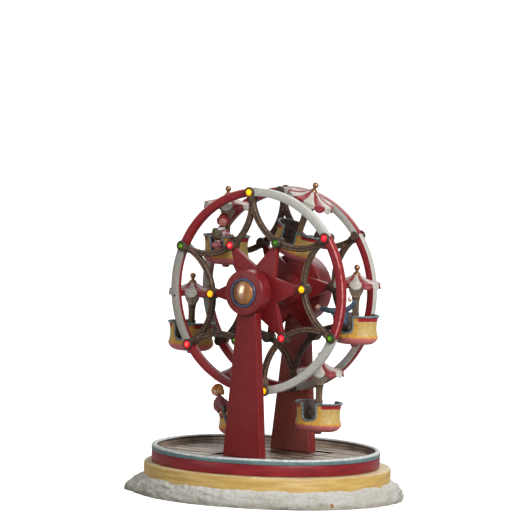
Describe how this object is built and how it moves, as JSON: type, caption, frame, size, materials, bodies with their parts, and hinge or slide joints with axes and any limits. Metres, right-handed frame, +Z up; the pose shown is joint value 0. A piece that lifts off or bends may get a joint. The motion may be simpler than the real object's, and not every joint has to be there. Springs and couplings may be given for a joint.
{
  "type": "ferris wheel music box",
  "caption": "Table-top music box as a turning ferris wheel: six hanging tub gondolas between two lamp-lit rims, on two towers over a round stepped base with snow.",
  "frame": {"origin": "centre of the base's outline at its resting face", "axes": "+Z up; the wheel's axle lies along Y; -Y is the front, where the copper-domed tower stands"},
  "size_m": [0.21, 0.202, 0.2369],
  "materials": {
    "snow": "matte, hand-painted snow on cast resin",
    "yellow_paint": "satin mustard paint with a brown wash",
    "red_paint": "satin deep red paint",
    "teal_paint": "satin dusty teal paint",
    "plank_brown": "dark brown paint on moulded planks, dry-brushed grey",
    "black_plastic": "satin",
    "steel": "bright",
    "cell_jacket": "plain printed steel jacket, no lettering",
    "board_green": "solder mask",
    "speaker_paper": "black frame and cone",
    "motor_plate": "zinc plated",
    "blue_paint": "satin navy paint",
    "copper_paint": "metallic copper paint",
    "bushing_bronze": "sintered bronze",
    "dark_wood_paint": "dark brown paint, dry-brushed copper",
    "white_paint": "satin off-white and red paint",
    "rider_red": "hand-painted figure",
    "rider_blue": "hand-painted figure",
    "rider_maroon": "hand-painted figure"
  },
  "bodies": {
    "base": {"snow_base": "snow", "lower_step": "yellow_paint", "upper_drum": "red_paint", "rim_ring": "teal_paint", "plank_floor": "plank_brown", "deck_plate": "plank_brown", "bottom_cover": "black_plastic", "battery_box": "black_plastic", "battery_cell_1": "cell_jacket", "battery_cell_2": "cell_jacket", "battery_cell_3": "cell_jacket", "switch_housing": "black_plastic", "speaker": "speaker_paper", "melody_board": "board_green", "front_tower": "red_paint", "front_cap_ring": "blue_paint", "front_cap_dome": "copper_paint", "front_bush": "bushing_bronze", "contact_brushes": "copper_paint", "rear_tower": "red_paint", "rear_cover": "red_paint", "rear_bush": "bushing_bronze", "gear_motor": "motor_plate", "rear_cover_screw_1": "steel", "rear_cover_screw_2": "steel", "rear_cover_screw_3": "steel"},
    "battery_door": {"battery_door": "black_plastic"},
    "switch_slider": {"switch_slider": "white_paint"},
    "wheel": {"axle": "steel", "hub_spool": "red_paint", "slip_rings": "copper_paint", "motor_coupler": "bushing_bronze", "front_lattice": "dark_wood_paint", "rear_lattice": "dark_wood_paint", "front_star": "red_paint", "rear_star": "red_paint", "front_rim": "white_paint", "rear_rim": "white_paint", "gondola_pin_1": "steel", "gondola_pin_2": "steel", "gondola_pin_3": "steel", "gondola_pin_4": "steel", "gondola_pin_5": "steel", "gondola_pin_6": "steel"},
    "gondola_1": {"gondola_1_tub": "yellow_paint", "gondola_1_canopy": "white_paint", "lookout_rider": "rider_red"},
    "gondola_2": {"gondola_2_tub": "yellow_paint", "gondola_2_canopy": "white_paint"},
    "gondola_3": {"gondola_3_tub": "yellow_paint", "gondola_3_canopy": "white_paint", "waving_rider": "rider_blue"},
    "gondola_4": {"gondola_4_tub": "yellow_paint", "gondola_4_canopy": "white_paint"},
    "gondola_5": {"gondola_5_tub": "yellow_paint", "gondola_5_canopy": "white_paint", "leaning_rider": "rider_maroon"},
    "gondola_6": {"gondola_6_tub": "yellow_paint", "gondola_6_canopy": "white_paint"}
  },
  "joints": [
    {"name": "wheel_spin", "type": "hinge", "parent": "base", "child": "wheel", "pos_m": [0, 0, 0.1537], "axis": [0, 1, 0], "continuous": true},
    {"name": "gondola_1_swing", "type": "hinge", "parent": "wheel", "child": "gondola_1", "pos_m": [-0.04408, 0, 0.21327], "axis": [0, 1, 0], "continuous": true},
    {"name": "gondola_2_swing", "type": "hinge", "parent": "wheel", "child": "gondola_2", "pos_m": [0.02955, 0, 0.22165], "axis": [0, 1, 0], "continuous": true},
    {"name": "gondola_3_swing", "type": "hinge", "parent": "wheel", "child": "gondola_3", "pos_m": [0.07362, 0, 0.16209], "axis": [0, 1, 0], "continuous": true},
    {"name": "gondola_4_swing", "type": "hinge", "parent": "wheel", "child": "gondola_4", "pos_m": [0.04408, 0, 0.09413], "axis": [0, 1, 0], "continuous": true},
    {"name": "gondola_5_swing", "type": "hinge", "parent": "wheel", "child": "gondola_5", "pos_m": [-0.02955, 0, 0.08575], "axis": [0, 1, 0], "continuous": true},
    {"name": "gondola_6_swing", "type": "hinge", "parent": "wheel", "child": "gondola_6", "pos_m": [-0.07362, 0, 0.14531], "axis": [0, 1, 0], "continuous": true},
    {"name": "battery_door_hinge", "type": "hinge", "parent": "base", "child": "battery_door", "pos_m": [-0.042, -0.0263, 0.0029], "axis": [-1, 0, 0], "range_deg": [0, 95]},
    {"name": "switch_slide", "type": "slide", "parent": "base", "child": "switch_slider", "axis": [1, 0, 0], "range_m": [0, 0.0054]}
  ],
  "couplings": [
    {"joint": "gondola_1_swing", "follows": "wheel_spin", "ratio": -1},
    {"joint": "gondola_2_swing", "follows": "wheel_spin", "ratio": -1},
    {"joint": "gondola_3_swing", "follows": "wheel_spin", "ratio": -1},
    {"joint": "gondola_4_swing", "follows": "wheel_spin", "ratio": -1},
    {"joint": "gondola_5_swing", "follows": "wheel_spin", "ratio": -1},
    {"joint": "gondola_6_swing", "follows": "wheel_spin", "ratio": -1}
  ]
}
